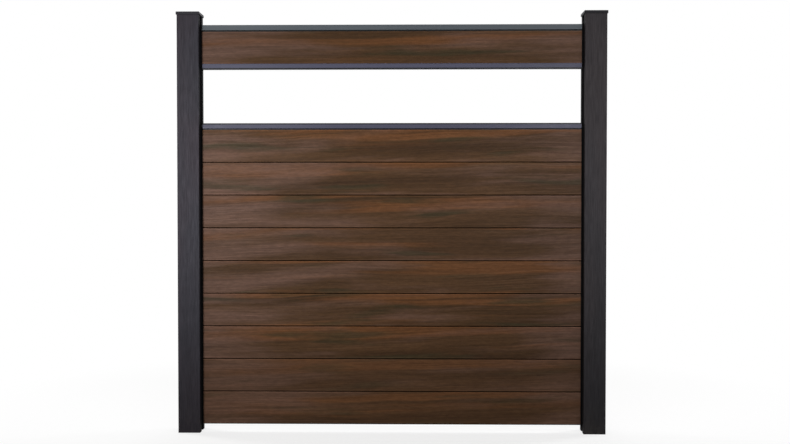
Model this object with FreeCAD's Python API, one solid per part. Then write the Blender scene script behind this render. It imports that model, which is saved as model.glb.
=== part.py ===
import FreeCAD, Part
import os

# Composite privacy fence panel, one bay between two posts.
# Millimetres. The origin is the middle of the left post's foot, +X runs along the fence to the
# right post, the front of the fence faces -Y and +Z is up.

# Posts
post_size = 100.0
post_room = 43.0
post_wall = 8.0
post_corner = 2.5
clear_width = 1744.0
slot_depth = 24.0
slot_wall = 6.0
slot_lead_in = 1.0

# Post caps
cap_overhang = 4.0
cap_thickness = 12.0
cap_corner = 5.0
cap_rim = 3.0
plug_depth = 16.0
plug_wall = 3.0
plug_clearance = 0.3

# Boards
board_count = 9
board_pitch = 150.0
board_thickness = 20.0
board_bevel = 1.0
reveal_height = 4.0
reveal_depth = 3.5
tongue_thickness = 6.0
tongue_height = 8.0
tongue_tip = 1.0
groove_clearance = 0.3
groove_end_room = 1.0
chamber_count = 5
chamber_wall = 4.5
chamber_web = 5.0
ground_gap = 33.0

# Rails
rail_height = 26.0
rail_width = 25.0
rail_wall = 2.2
rail_edge = 2.0
view_gap = 245.0

# Side channels in the post slots
channel_wall = 2.0
channel_reach = 8.0
channel_clearance = 0.3
slot_clearance = 0.3
end_clearance = 0.3

# Sizes that follow from the ones above
post_spacing = clear_width + post_size
post_face = post_size / 2
channel_inside = rail_width + 2 * channel_clearance
channel_width = channel_inside + 2 * channel_wall
slot_width = channel_width + 2 * slot_clearance
slot_floor = post_face - slot_depth
channel_back = slot_floor + slot_clearance
channel_front = post_face + channel_reach
board_end = channel_back + channel_wall + end_clearance
board_length = post_spacing - 2 * board_end
foot_half = board_thickness / 2 - reveal_depth
groove_thickness = tongue_thickness + 2 * groove_clearance
groove_depth = tongue_height + groove_end_room
boards_top = ground_gap + board_count * board_pitch
mid_rail_top = boards_top + reveal_height + rail_height
lower_rail_z = mid_rail_top + view_gap
top_board_z = lower_rail_z + rail_height - reveal_height
top_rail_z = top_board_z + board_pitch
panel_top = top_rail_z + reveal_height + rail_height
post_height = panel_top + post_room


def box(x0, x1, y0, y1, z0, z1):
    corner = FreeCAD.Vector(x0, y0, z0)
    return Part.makeBox(x1 - x0, y1 - y0, z1 - z0, corner)


def along_fence(outline):
    """A solid with the outline given as (y, z) points, as long as a board."""
    points = [FreeCAD.Vector(board_end, y, z) for y, z in outline]
    face = Part.Face(Part.makePolygon(points + points[:1]))
    return face.extrude(FreeCAD.Vector(board_length, 0, 0))


def tunnel(half, z0, z1):
    """A straight run with a rectangular section, used for hollows, grooves and ribs."""
    return along_fence([(-half, z0), (half, z0), (half, z1), (-half, z1)])


def mirrored(shape):
    """The same piece for the right-hand post."""
    middle = FreeCAD.Vector(post_spacing / 2, 0, 0)
    return shape.mirror(middle, FreeCAD.Vector(1, 0, 0))


def upright_edges(shape, x_limit):
    """The upright edges at the outer corners of a square piece."""
    found = []
    for edge in shape.Edges:
        size = edge.BoundBox
        upright = size.XLength < 0.01 and size.YLength < 0.01
        if upright and abs(abs(size.XMin) - x_limit) < 0.01 and abs(abs(size.YMin) - x_limit) < 0.01:
            found.append(edge)
    return found


def make_post():
    """A hollow extruded post with a slot down both sides."""
    outer = box(-post_face, post_face, -post_face, post_face, 0, post_height)
    outer = outer.makeFillet(post_corner, upright_edges(outer, post_face))
    inside = post_face - post_wall
    shell = outer.cut(box(-inside, inside, -inside, inside, 0, post_height))
    half_slot = slot_width / 2
    half_pocket = half_slot + slot_wall
    pocket_floor = slot_floor - slot_wall
    for side in (-1, 1):
        wall_x = sorted((side * pocket_floor, side * (post_face - post_wall / 2)))
        shell = shell.fuse(box(wall_x[0], wall_x[1], -half_pocket, half_pocket, 0, post_height))
    for side in (-1, 1):
        slot_x = sorted((side * slot_floor, side * post_face))
        shell = shell.cut(box(slot_x[0], slot_x[1], -half_slot, half_slot, 0, post_height))
    shell = shell.removeSplitter()
    lips = []
    for edge in shell.Edges:
        size = edge.BoundBox
        upright = size.XLength < 0.01 and size.YLength < 0.01
        at_slot = abs(abs(size.YMin) - half_slot) < 0.01 and abs(abs(size.XMin) - post_face) < 0.01
        if upright and at_slot:
            lips.append(edge)
    return shell.makeChamfer(slot_lead_in, lips)


def make_cap():
    """A flat cap with a rounded rim and a hollow plug that drops into the post."""
    half = post_face + cap_overhang
    plate = box(-half, half, -half, half, post_height, post_height + cap_thickness)
    plate = plate.makeFillet(cap_corner, upright_edges(plate, half))
    rim = []
    for edge in plate.Edges:
        if edge.BoundBox.ZMin > post_height + cap_thickness - 0.01:
            rim.append(edge)
    plate = plate.makeFillet(cap_rim, rim)
    plug_x = slot_floor - slot_wall - plug_clearance
    plug_y = post_face - post_wall - plug_clearance
    low = post_height - plug_depth
    plug = box(-plug_x, plug_x, -plug_y, plug_y, low, post_height)
    hole_x = plug_x - plug_wall
    hole_y = plug_y - plug_wall
    plug = plug.cut(box(-hole_x, hole_x, -hole_y, hole_y, low, post_height))
    return plate.fuse(plug).removeSplitter()


def make_channel():
    """A dark U-section in the slot, closed at its foot, that holds the ends of boards and rails."""
    outside = channel_width / 2
    inside = channel_inside / 2
    foot = ground_gap - channel_wall
    channel = box(channel_back, channel_front, -outside, outside, foot, panel_top)
    room_x = channel_back + channel_wall
    return channel.cut(box(room_x, channel_front, -inside, inside, ground_gap, panel_top))


def make_spacer():
    """The strip in the side channel that keeps the upper board clear of the boards below."""
    half = rail_width / 2
    return box(board_end, channel_front - end_clearance, -half, half, mid_rail_top, lower_rail_z)


def make_board(z0):
    """A hollow tongue and groove board, whose grooved foot is set back to leave a shadow line."""
    half = board_thickness / 2
    tongue = tongue_thickness / 2
    groove = groove_thickness / 2
    face_z = z0 + reveal_height
    z1 = z0 + board_pitch
    front = [
        (-foot_half, z0),
        (-foot_half, face_z),
        (-half + board_bevel, face_z),
        (-half, face_z + board_bevel),
        (-half, z1 - board_bevel),
        (-half + board_bevel, z1),
        (-tongue, z1),
        (-tongue, z1 + tongue_height - tongue_tip),
        (-tongue + tongue_tip, z1 + tongue_height),
    ]
    back = [(-y, z) for y, z in reversed(front)]
    underside = [
        (groove, z0),
        (groove, z0 + groove_depth),
        (-groove, z0 + groove_depth),
        (-groove, z0),
    ]
    board = along_fence(front + back + underside)
    low = z0 + groove_depth + chamber_wall
    high = z1 - chamber_wall
    step = (high - low + chamber_web) / chamber_count
    for number in range(chamber_count):
        start = low + number * step
        board = board.cut(tunnel(half - chamber_wall, start, start + step - chamber_web))
    return board


def make_rail(z0, roof):
    """A hollow extruded rail with bevelled edges and a top of the given thickness."""
    half = rail_width / 2
    z1 = z0 + rail_height
    front = [
        (-half + rail_edge, z0),
        (-half, z0 + rail_edge),
        (-half, z1 - rail_edge),
        (-half + rail_edge, z1),
    ]
    back = [(-y, z) for y, z in reversed(front)]
    body = along_fence(front + back)
    return body.cut(tunnel(half - rail_wall, z0 + rail_wall, z1 - roof))


def make_capping_rail(z0):
    """A rail on a foot like a board's, with the same groove, which drops over a board's tongue."""
    groove = groove_thickness / 2
    body_z = z0 + reveal_height
    foot = tunnel(foot_half, z0, body_z + rail_wall / 2)
    sleeve = tunnel(groove + rail_wall, body_z, z0 + groove_depth + rail_wall)
    rail = make_rail(body_z, rail_wall).fuse([foot, sleeve])
    return rail.cut(tunnel(groove, z0, z0 + groove_depth)).removeSplitter()


def make_seat_rail(z0):
    """A rail that takes a board's foot between two lips, round a rib that fills its groove."""
    seat_half = foot_half + groove_clearance
    z1 = z0 + rail_height
    seat_z = z1 - reveal_height
    rail = make_rail(z0, reveal_height + rail_wall).cut(tunnel(seat_half, seat_z, z1))
    rib = tunnel(tongue_thickness / 2, seat_z - rail_wall / 2, seat_z + tongue_height)
    return rail.fuse(rib).removeSplitter()


parts = {
    "post_left": make_post(),
    "post_cap_left": make_cap(),
    "side_channel_left": make_channel(),
    "gap_spacer_left": make_spacer(),
}
for name in list(parts):
    parts[name.replace("left", "right")] = mirrored(parts[name])

for number in range(1, board_count + 1):
    foot_z = boards_top - number * board_pitch
    parts["board_%d" % number] = make_board(foot_z)
parts["mid_rail"] = make_capping_rail(boards_top)
parts["top_board_lower_rail"] = make_seat_rail(lower_rail_z)
parts["top_board"] = make_board(top_board_z)
parts["top_rail"] = make_capping_rail(top_rail_z)

os.makedirs("parts", exist_ok=True)
for name, shape in parts.items():
    shape.exportStep("parts/%s.step" % name)
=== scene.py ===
import bpy
import math
from mathutils import Euler, Matrix, Vector


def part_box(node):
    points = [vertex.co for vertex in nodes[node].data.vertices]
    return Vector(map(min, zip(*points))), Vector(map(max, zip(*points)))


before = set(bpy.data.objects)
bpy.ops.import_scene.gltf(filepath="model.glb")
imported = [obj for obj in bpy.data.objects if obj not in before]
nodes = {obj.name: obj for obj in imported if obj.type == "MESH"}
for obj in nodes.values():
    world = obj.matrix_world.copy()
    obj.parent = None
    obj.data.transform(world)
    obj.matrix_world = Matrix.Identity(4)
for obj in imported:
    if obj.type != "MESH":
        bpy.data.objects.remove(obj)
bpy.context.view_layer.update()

# Metres, as in the CAD: x runs along the fence, y towards its back and z up. The fence is
# symmetric about y = 0, so a depth is a distance from there, to the front or to the back.

# Boards: the middle of a board's face over its foot, how far from that middle the painted highlight
# along the long edges begins and is full, the depths between which the groove turns into the face,
# and how much the streaks wander up and down and climb along the board
face_middle = 0.077
painted_highlight_begin = 0.066
painted_highlight_full = 0.071
groove_depth = 0.0084
face_depth = 0.0099
streak_wander = 0.05
streak_slope = 0.024

# Posts: the inner faces, how far from one the painted shade is full and gone, and the depths
# between which that painted shade ends at the post's rounded corners
left_inner_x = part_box("post_left")[1][0]
right_inner_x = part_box("post_right")[0][0]
shade_full = 0.004
shade_gone = 0.012
corner_begin = 0.0455
corner_end = 0.0485

# Rails: how far from a free edge or over a foot its painted shade line is full and gone, the depths
# between which a level face turns into the corner, and the brightness that the line keeps
painted_edge_shade = (0.0052, 0.0070)
painted_foot_shade = (0.0054, 0.0070)
level_depth = 0.0098
corner_depth = 0.0108
painted_shade_brightness = 0.06

# Camera: turns in radians and a focal length in pixels of the photograph's width
photo_width = 790
focal_length = 1017.2
camera_place = (1.0202, -4.6535, 1.066)
camera_down = 0.0224
camera_left = 0.0176
sensor_width = 36.0


def srgb(*channels):
    """A colour read as 0 to 255 on screen, as the linear value that shaders take."""
    linear = []
    for channel in channels:
        value = channel / 255
        linear.append(value / 12.92 if value <= 0.04045 else ((value + 0.055) / 1.055) ** 2.4)
    return (*linear, 1.0)


def grey(level):
    """A plain grey, given as the linear value."""
    return (level, level, level, 1.0)


class Shader:
    """A short way to write node trees. A value is a socket, or a plain number, point or colour.
    feed links or sets an input. The other methods return the output socket of what they add, but
    for add, which returns the node, axes, which returns the x, y and z sockets, and blended and
    surface, which finish the tree and return its owner."""

    def __init__(self, owner, output="ShaderNodeOutputMaterial"):
        self.owner = owner
        owner.use_nodes = True
        self.tree = owner.node_tree
        self.tree.nodes.clear()
        self.output = self.add(output)
        self.coords = self.add("ShaderNodeTexCoord").outputs["Object"]

    def add(self, kind, **settings):
        node = self.tree.nodes.new(kind)
        for key, value in settings.items():
            setattr(node, key, value)
        return node

    def feed(self, socket, value):
        if isinstance(value, bpy.types.NodeSocket):
            self.tree.links.new(value, socket)
        else:
            socket.default_value = value

    def axes(self):
        node = self.add("ShaderNodeSeparateXYZ")
        self.feed(node.inputs[0], self.coords)
        return node.outputs

    def vector(self, operation, first, second):
        node = self.add("ShaderNodeVectorMath", operation=operation)
        self.feed(node.inputs[0], first)
        self.feed(node.inputs[1], second)
        return node.outputs[0]

    def mapped(self, scale, location=(0, 0, 0), coords=None):
        """Coordinates multiplied by scale, after a shift in metres."""
        shifted = self.vector("ADD", coords or self.coords, location)
        return self.vector("MULTIPLY", shifted, scale)

    def noise(self, coords, detail=3.0, roughness=0.5):
        node = self.add("ShaderNodeTexNoise")
        self.feed(node.inputs["Vector"], coords)
        self.feed(node.inputs["Scale"], 1.0)
        self.feed(node.inputs["Detail"], detail)
        self.feed(node.inputs["Roughness"], roughness)
        return node.outputs["Fac"]

    def ramp(self, value, stops):
        node = self.add("ShaderNodeValToRGB")
        self.feed(node.inputs["Fac"], value)
        band = node.color_ramp
        band.interpolation = "EASE"
        while len(band.elements) < len(stops):
            band.elements.new(0.5)
        for element, (place, colour) in zip(band.elements, stops):
            element.position = place
            element.color = colour
        return node.outputs["Color"]

    def fit(self, value, low, high, to_low=0.0, to_high=1.0):
        """A smooth step: to_low up to a value of low, and to_high from a value of high."""
        node = self.add("ShaderNodeMapRange", interpolation_type="SMOOTHSTEP")
        for socket, number in zip(node.inputs[:5], (value, low, high, to_low, to_high)):
            self.feed(socket, number)
        return node.outputs[0]

    def swing(self, noise, to_low=0.0, to_high=1.0):
        """A noise spread out so that it runs from to_low to to_high."""
        return self.fit(noise, 0.3, 0.7, to_low, to_high)

    def maths(self, operation, first, second=0.0):
        node = self.add("ShaderNodeMath", operation=operation)
        self.feed(node.inputs[0], first)
        self.feed(node.inputs[1], second)
        return node.outputs[0]

    def product(self, first, *others):
        for other in others:
            first = self.maths("MULTIPLY", first, other)
        return first

    def total(self, first, *others):
        for other in others:
            first = self.maths("ADD", first, other)
        return first

    def apart(self, first, second):
        """The distance between two values."""
        return self.maths("ABSOLUTE", self.maths("SUBTRACT", first, second))

    def mix(self, factor, first, second):
        """The first colour at a factor of 0 and the second at 1."""
        node = self.add("ShaderNodeMix", data_type="RGBA", blend_type="MIX")
        self.feed(node.inputs["Factor"], factor)
        self.feed(node.inputs["A"], first)
        self.feed(node.inputs["B"], second)
        return node.outputs["Result"]

    def brightened(self, colour, tone):
        """A colour multiplied by a number."""
        node = self.add("ShaderNodeVectorMath", operation="SCALE")
        self.feed(node.inputs[0], colour)
        self.feed(node.inputs["Scale"], tone)
        return node.outputs[0]

    def background_rays(self):
        """1 for the rays that see the background: from the camera, a mirror or glass."""
        path = self.add("ShaderNodeLightPath").outputs
        mirrored = self.maths("MAXIMUM", path["Is Glossy Ray"], path["Is Transmission Ray"])
        return self.maths("MAXIMUM", path["Is Camera Ray"], mirrored)

    def bump(self, height, distance, strength):
        node = self.add("ShaderNodeBump")
        self.feed(node.inputs["Height"], height)
        self.feed(node.inputs["Distance"], distance)
        self.feed(node.inputs["Strength"], strength)
        return node.outputs["Normal"]

    def blended(self, factor, first, second):
        """The first shader at a factor of 0 and the second at 1."""
        node = self.add("ShaderNodeMixShader")
        for socket, value in zip(node.inputs, (factor, first, second)):
            self.feed(socket, value)
        self.feed(self.output.inputs["Surface"], node.outputs[0])
        return self.owner

    def surface(self, **inputs):
        node = self.add("ShaderNodeBsdfPrincipled")
        for name, value in inputs.items():
            self.feed(node.inputs[name.replace("_", " ")], value)
        self.feed(self.output.inputs["Surface"], node.outputs[0])
        return self.owner


def board_material(name, low_z, seed, shade, calm):
    """Streaked brown composite with an embossed grain that runs along the board. The streaks are
    full at a calm of 0 and gone at 1."""
    look = Shader(bpy.data.materials.new(name))
    here = (seed * 3.17, seed * 1.31, seed * 0.77 - low_z)
    along, across, up = look.axes()
    height = look.maths("SUBTRACT", up, low_z)

    # The streaks climb a little towards one end and wander, so that none runs dead straight
    wander = look.noise(look.mapped((1.4, 1.0, 3.0), here), detail=2.0)
    lift = look.product(look.maths("SUBTRACT", wander, 0.5), streak_wander)
    climb = look.product(along, streak_slope)
    bend = look.add("ShaderNodeCombineXYZ")
    look.feed(bend.inputs["Z"], look.maths("SUBTRACT", lift, climb))
    line = look.vector("ADD", look.coords, bend.outputs[0])

    # Long streaks of colour: dark and mid brown, bright ones that keep to the upper half, rosy
    # patches that a painted sheen makes more of towards both ends, the left one most, and a few
    # olive patches
    broad = look.noise(look.mapped((0.6, 4.0, 13.0), here, line), detail=4.0, roughness=0.55)
    warm = look.noise(look.mapped((0.5, 4.0, 19.0), (here[0] + 5, 1, here[2]), line), detail=2.5)
    rosy_and_sheen = look.noise(look.mapped((1.6, 4.0, 15.0), (here[0] + 2, 6, here[2]), line))
    olive = look.noise(look.mapped((1.7, 4.0, 18.0), (here[0] - 9, 2, here[2]), line))
    base = look.ramp(broad, [
        (0.32, srgb(58, 40, 25)),
        (0.45, srgb(66, 46, 28)),
        (0.56, srgb(74, 52, 33)),
        (0.70, srgb(83, 59, 39)),
    ])
    upper_half = look.fit(height, 0.03, 0.13, -0.07, 0.05)
    # Painted sheen: the rosy patches grow towards both ends, the left one most
    painted_sheen_left = look.fit(along, 0.0, 0.9, 0.13, -0.08)
    painted_sheen_right = look.fit(along, 1.45, 1.80, 0.0, 0.16)
    warm = look.total(warm, upper_half)
    rosy_and_sheen = look.total(rosy_and_sheen, painted_sheen_left, painted_sheen_right)
    base = look.mix(look.fit(warm, 0.49, 0.62, 0.0, 0.82), base, srgb(100, 64, 37))
    base = look.mix(look.fit(rosy_and_sheen, 0.38, 0.72, 0.0, 0.76), base, srgb(103, 78, 67))
    base = look.mix(look.fit(olive, 0.55, 0.70, 0.0, 0.68), base, srgb(49, 46, 30))
    base = look.mix(calm, base, srgb(80, 57, 41))

    # Grain lines, fibres and the mottled emboss
    grain = look.noise(look.mapped((3.5, 10.0, 190.0), here, line), detail=5.0, roughness=0.6)
    veins = look.noise(look.mapped((1.6, 10.0, 75.0), (here[0], 3, here[2]), line))
    pores = look.noise(look.mapped((26.0, 40.0, 420.0), here, line), detail=4.0, roughness=0.65)
    mottle = look.noise(look.mapped((34.0, 30.0, 110.0), here, line), roughness=0.6)
    tone = look.product(
        look.swing(grain, 0.85, 1.13),
        look.swing(pores, 0.88, 1.10),
        look.swing(veins, 0.92 * shade, 1.08 * shade),
        look.swing(mottle, 0.90, 1.10),
    )

    # Painted highlight: the long edges a little paler, as if their bevels caught the light. Painted
    # shade: the groove between boards left dark
    edge = look.fit(look.apart(height, face_middle), painted_highlight_begin, painted_highlight_full, 0.0, 0.28)
    painted_edge_highlight = look.product(edge, look.fit(pores, 0.35, 0.55, 0.5, 1.0))
    depth = look.maths("ABSOLUTE", across)
    painted_groove_shade = look.fit(depth, groove_depth, face_depth, 0.97, 0.0)
    colour = look.mix(painted_groove_shade, look.brightened(base, look.total(tone, painted_edge_highlight)), srgb(12, 6, 3))

    emboss = look.total(
        look.product(look.fit(grain, 0.38, 0.62), 0.6),
        look.product(look.fit(pores, 0.36, 0.60), 0.4),
    )
    return look.surface(
        Base_Color=colour,
        Roughness=look.total(look.swing(grain, 0.50, 0.38), look.product(painted_groove_shade, 0.5)),
        Specular_IOR_Level=0.05,
        Normal=look.bump(emboss, distance=0.0005, strength=0.6),
    )


def post_material(name, colour, other, inner_x, seed):
    """Charcoal composite with a fine upright grain."""
    look = Shader(bpy.data.materials.new(name))
    here = (seed, seed * 0.6, seed * 0.3)
    x, y, z = look.axes()
    cloud = look.noise(look.mapped((4.0, 4.0, 1.6), here))
    bands = look.noise(look.mapped((85.0, 85.0, 3.0), here), roughness=0.6)
    grain = look.noise(look.mapped((240.0, 240.0, 14.0), here), detail=5.0, roughness=0.6)
    pores = look.noise(look.mapped((900.0, 900.0, 18.0), here), detail=2.0, roughness=0.6)

    # Painted shade: the face that holds the boards is darkened near the slot. The post is also
    # darker towards the bottom
    on_face = look.fit(look.apart(x, inner_x), shade_full, shade_gone, 1.0, 0.0)
    depth = look.maths("ABSOLUTE", y)
    painted_shade = look.product(on_face, look.fit(depth, corner_begin, corner_end, 0.75, 0.0))
    tone = look.product(
        look.swing(bands, 0.90, 1.09),
        look.swing(grain, 0.80, 1.18),
        look.swing(pores, 0.94, 1.05),
        look.maths("SUBTRACT", 1.0, painted_shade),
        look.fit(z, -0.2, 1.0, 0.6, 1.0),
    )
    charcoal = look.brightened(look.mix(look.fit(cloud, 0.35, 0.65), colour, other), tone)

    # A little pale dust low down, where rain splashes
    dust = look.noise(look.mapped((22.0, 22.0, 9.0), here), detail=5.0, roughness=0.7)
    low = look.fit(z, 0.0, 0.16, 0.08, 0.0)
    dusty = look.product(low, look.fit(dust, 0.4, 0.65))

    emboss = look.total(look.product(grain, 0.7), look.product(pores, 0.3))
    return look.surface(
        Base_Color=look.mix(dusty, charcoal, srgb(120, 112, 102)),
        Roughness=look.total(look.swing(grain, 0.66, 0.54), look.product(painted_shade, 0.4)),
        Specular_IOR_Level=0.08,
        Normal=look.bump(emboss, distance=0.0004, strength=0.5),
    )


def metal_material(name, colour, other, rough, shine, seed, free_edge=None, foot=None):
    """Painted extruded metal, with faint draw lines, a fine orange peel, and painted shade lines at
    a free edge and along a foot, both given by their height."""
    look = Shader(bpy.data.materials.new(name))
    here = (seed, seed * 0.4, seed * 0.9)
    _, y, z = look.axes()
    cloud = look.noise(look.mapped((1.6, 5.0, 5.0), here))
    drawn = look.noise(look.mapped((1.1, 420.0, 420.0), here), detail=4.0, roughness=0.6)
    peel = look.noise(look.mapped((420.0, 420.0, 420.0), here), detail=2.0)
    scuff = look.noise(look.mapped((16.0, 60.0, 60.0), here), detail=6.0, roughness=0.75)
    tone = look.product(look.swing(drawn, 0.93, 1.06), look.fit(scuff, 0.35, 0.7, 0.97, 1.05))
    if free_edge is not None:
        # Only the corner gets the painted shade line: the middle of the level face keeps its colour
        inward = look.fit(look.maths("ABSOLUTE", y), level_depth, corner_depth, 1.0, 0.0)
        away = look.fit(look.apart(z, free_edge), *painted_edge_shade, painted_shade_brightness, 1.0)
        tone = look.product(tone, look.maths("MAXIMUM", inward, away))
    if foot is not None:
        # Painted shade line over the set-back foot
        rise = look.maths("SUBTRACT", z, foot)
        tone = look.product(tone, look.fit(rise, *painted_foot_shade, painted_shade_brightness, 1.0))
    base = look.mix(look.fit(cloud, 0.35, 0.65), colour, other)
    relief = look.total(look.product(drawn, 0.6), look.product(peel, 0.4))
    return look.surface(
        Base_Color=look.brightened(base, tone),
        Roughness=look.swing(scuff, rough - 0.04, rough + 0.08),
        Specular_IOR_Level=shine,
        Normal=look.bump(relief, distance=0.0001, strength=0.5),
    )


def lowest_z(node):
    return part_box(node)[0][2]


def highest_z(node):
    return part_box(node)[1][2]


def dress(node, material):
    """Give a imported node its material."""
    mesh = nodes[node].data
    mesh.materials.clear()
    mesh.materials.append(material)


def dress_boards():
    """The raised board and the stacked ones, from the top down. No two boards of a batch have quite
    the same shade, and some have fainter streaks."""
    names = ["top_board"] + ["board_%d" % number for number in range(1, 10)]
    shades = (0.94, 0.98, 0.96, 0.88, 0.86, 0.95, 0.98, 0.96, 1.00, 1.14)
    calms = (0.0, 0.0, 0.08, 0.0, 0.1, 0.1, 0.0, 0.05, 0.42, 0.36)
    for number, (node, shade, calm) in enumerate(zip(names, shades, calms)):
        name = "composite_%s" % node
        seed = 1.0 + number * 1.7
        dress(node, board_material(name, lowest_z(node), seed, shade, calm))


def dress_side(number, side, inner_x, colour, other, cap_colour):
    """A post, its cap, and the black side channel and gap spacer in its slot."""
    blacks = (srgb(12, 12, 13), srgb(15, 15, 16))
    charcoal = post_material("charcoal_%s" % side, colour, other, inner_x, seed=2.0 + number)
    cap_paint = metal_material(
        "cap_paint_%s" % side, cap_colour, cap_colour, rough=0.5, shine=0.08, seed=5.0 + number
    )
    channel_paint = metal_material(
        "black_channel_%s" % side, *blacks, rough=0.6, shine=0.04, seed=8.0 + number
    )
    spacer_paint = metal_material(
        "black_spacer_%s" % side, *blacks, rough=0.7, shine=0.04, seed=11.0 + number
    )
    dress("post_%s" % side, charcoal)
    dress("post_cap_%s" % side, cap_paint)
    dress("side_channel_%s" % side, channel_paint)
    dress("gap_spacer_%s" % side, spacer_paint)


def dress_rails():
    """The slate rails, with a painted shade line at an edge that is next to the open band, and
    another over a set-back foot."""
    rails = (
        ("top_rail", srgb(80, 86, 91), srgb(74, 80, 86)),
        ("top_board_lower_rail", srgb(71, 71, 89), srgb(66, 66, 83)),
        ("mid_rail", srgb(68, 68, 85), srgb(62, 62, 79)),
    )
    free_edges = {
        "top_board_lower_rail": lowest_z("top_board_lower_rail"),
        "mid_rail": highest_z("mid_rail"),
    }
    feet = {node: lowest_z(node) for node in ("top_rail", "mid_rail")}
    for number, (node, colour, other) in enumerate(rails):
        slate = metal_material(
            "slate_%s" % node, colour, other, rough=0.42, shine=0.15, seed=14.0 + number,
            free_edge=free_edges.get(node), foot=feet.get(node),
        )
        dress(node, slate)


def make_floor():
    """A large pale floor that keeps the shadow and fades into the white background."""
    reach = 30.0
    fence_middle = (0.92, 0.0, 0.0)
    corners = [(-reach, -reach, 0), (reach, -reach, 0), (reach, reach, 0), (-reach, reach, 0)]
    mesh = bpy.data.meshes.new("floor")
    mesh.from_pydata(corners, [], [(0, 1, 2, 3)])
    floor = bpy.data.objects.new("floor", mesh)
    bpy.context.scene.collection.objects.link(floor)

    look = Shader(bpy.data.materials.new("pale_floor"))
    seen = look.background_rays()
    away = look.add("ShaderNodeVectorMath", operation="LENGTH")
    look.feed(away.inputs[0], look.vector("SUBTRACT", look.coords, fence_middle))
    far = look.fit(away.outputs["Value"], 0.9, 2.6, 0.76, 1.0)
    speck = look.noise(look.mapped((30.0, 30.0, 30.0)), detail=4.0)
    pale = look.mix(look.swing(speck), grey(0.91), grey(0.94))

    # Darker for the light that it throws back at the fence than for the rays that see it
    matt = look.add("ShaderNodeBsdfDiffuse")
    look.feed(matt.inputs["Color"], look.mix(seen, grey(0.20), pale))
    white = look.add("ShaderNodeEmission")
    look.feed(white.inputs["Strength"], 1.0)
    mesh.materials.append(
        look.blended(look.product(far, seen), matt.outputs[0], white.outputs[0])
    )


def make_world(level):
    """White where the camera, metal or glass sees it, and a plain level of light for the rest."""
    look = Shader(bpy.data.worlds.new("studio"), "ShaderNodeOutputWorld")
    backgrounds = []
    for strength in (level, 1.0):
        node = look.add("ShaderNodeBackground")
        look.feed(node.inputs["Color"], grey(1.0))
        look.feed(node.inputs["Strength"], strength)
        backgrounds.append(node.outputs[0])
    bpy.context.scene.world = look.blended(look.background_rays(), *backgrounds)


def area_light(name, place, target, size, power, spread):
    """A softbox, whose beam a grid narrows to the spread in degrees."""
    data = bpy.data.lights.new(name, "AREA")
    data.shape = "RECTANGLE"
    data.size, data.size_y = size
    data.energy = power
    data.spread = math.radians(spread)
    lamp = bpy.data.objects.new(name, data)
    aim = (Vector(target) - Vector(place)).to_track_quat("-Z", "Y")
    lamp.matrix_world = Matrix.Translation(place) @ aim.to_matrix().to_4x4()
    bpy.context.scene.collection.objects.link(lamp)


def make_lights():
    """Broad soft light from over the front and the back, and narrower beams towards each post."""
    middle = (0.9, 0.0, 0.9)
    area_light("overhead", (0.9, -1.5, 3.2), middle, (3.6, 1.0), 9.4, 120)
    area_light("left", (-1.3, -4.6, 1.3), (0.1, 0.0, 1.15), (0.7, 0.9), 8.6, 36)
    area_light("right", (2.7, -5.0, 1.5), (1.78, 0.0, 1.25), (0.7, 0.9), 6.5, 38)
    area_light("rear", (0.9, 2.6, 3.0), middle, (3.6, 1.0), 20, 120)
    area_light("rear_left", (-3.2, 1.6, 1.5), (0.0, 0.0, 1.0), (1.0, 1.4), 28, 70)
    area_light("rear_right", (5.0, 1.6, 1.5), (1.84, 0.0, 1.0), (1.0, 1.4), 28, 70)


def make_camera():
    """Nearly square on, a little right of the middle, at about chest height."""
    data = bpy.data.cameras.new("camera")
    data.sensor_fit = "HORIZONTAL"
    data.sensor_width = sensor_width
    data.lens = sensor_width * focal_length / photo_width
    camera = bpy.data.objects.new("camera", data)
    turn = Euler((math.pi / 2 - camera_down, 0.0, camera_left), "XYZ").to_matrix().to_4x4()
    camera.matrix_world = Matrix.Translation(camera_place) @ turn
    bpy.context.scene.collection.objects.link(camera)
    bpy.context.scene.camera = camera


dress_boards()
# The right post and, much more, its cap get darker colours than the left ones: painted shade, as
# the light falls from the left
dress_side(0, "left", left_inner_x, srgb(51, 50, 56), srgb(56, 51, 57), srgb(49, 48, 52))
dress_side(1, "right", right_inner_x, srgb(49, 47, 50), srgb(53, 49, 51), srgb(32, 31, 34))
dress_rails()
make_floor()
make_world(level=0.30)
make_lights()
make_camera()
bpy.context.scene.view_settings.view_transform = "Standard"
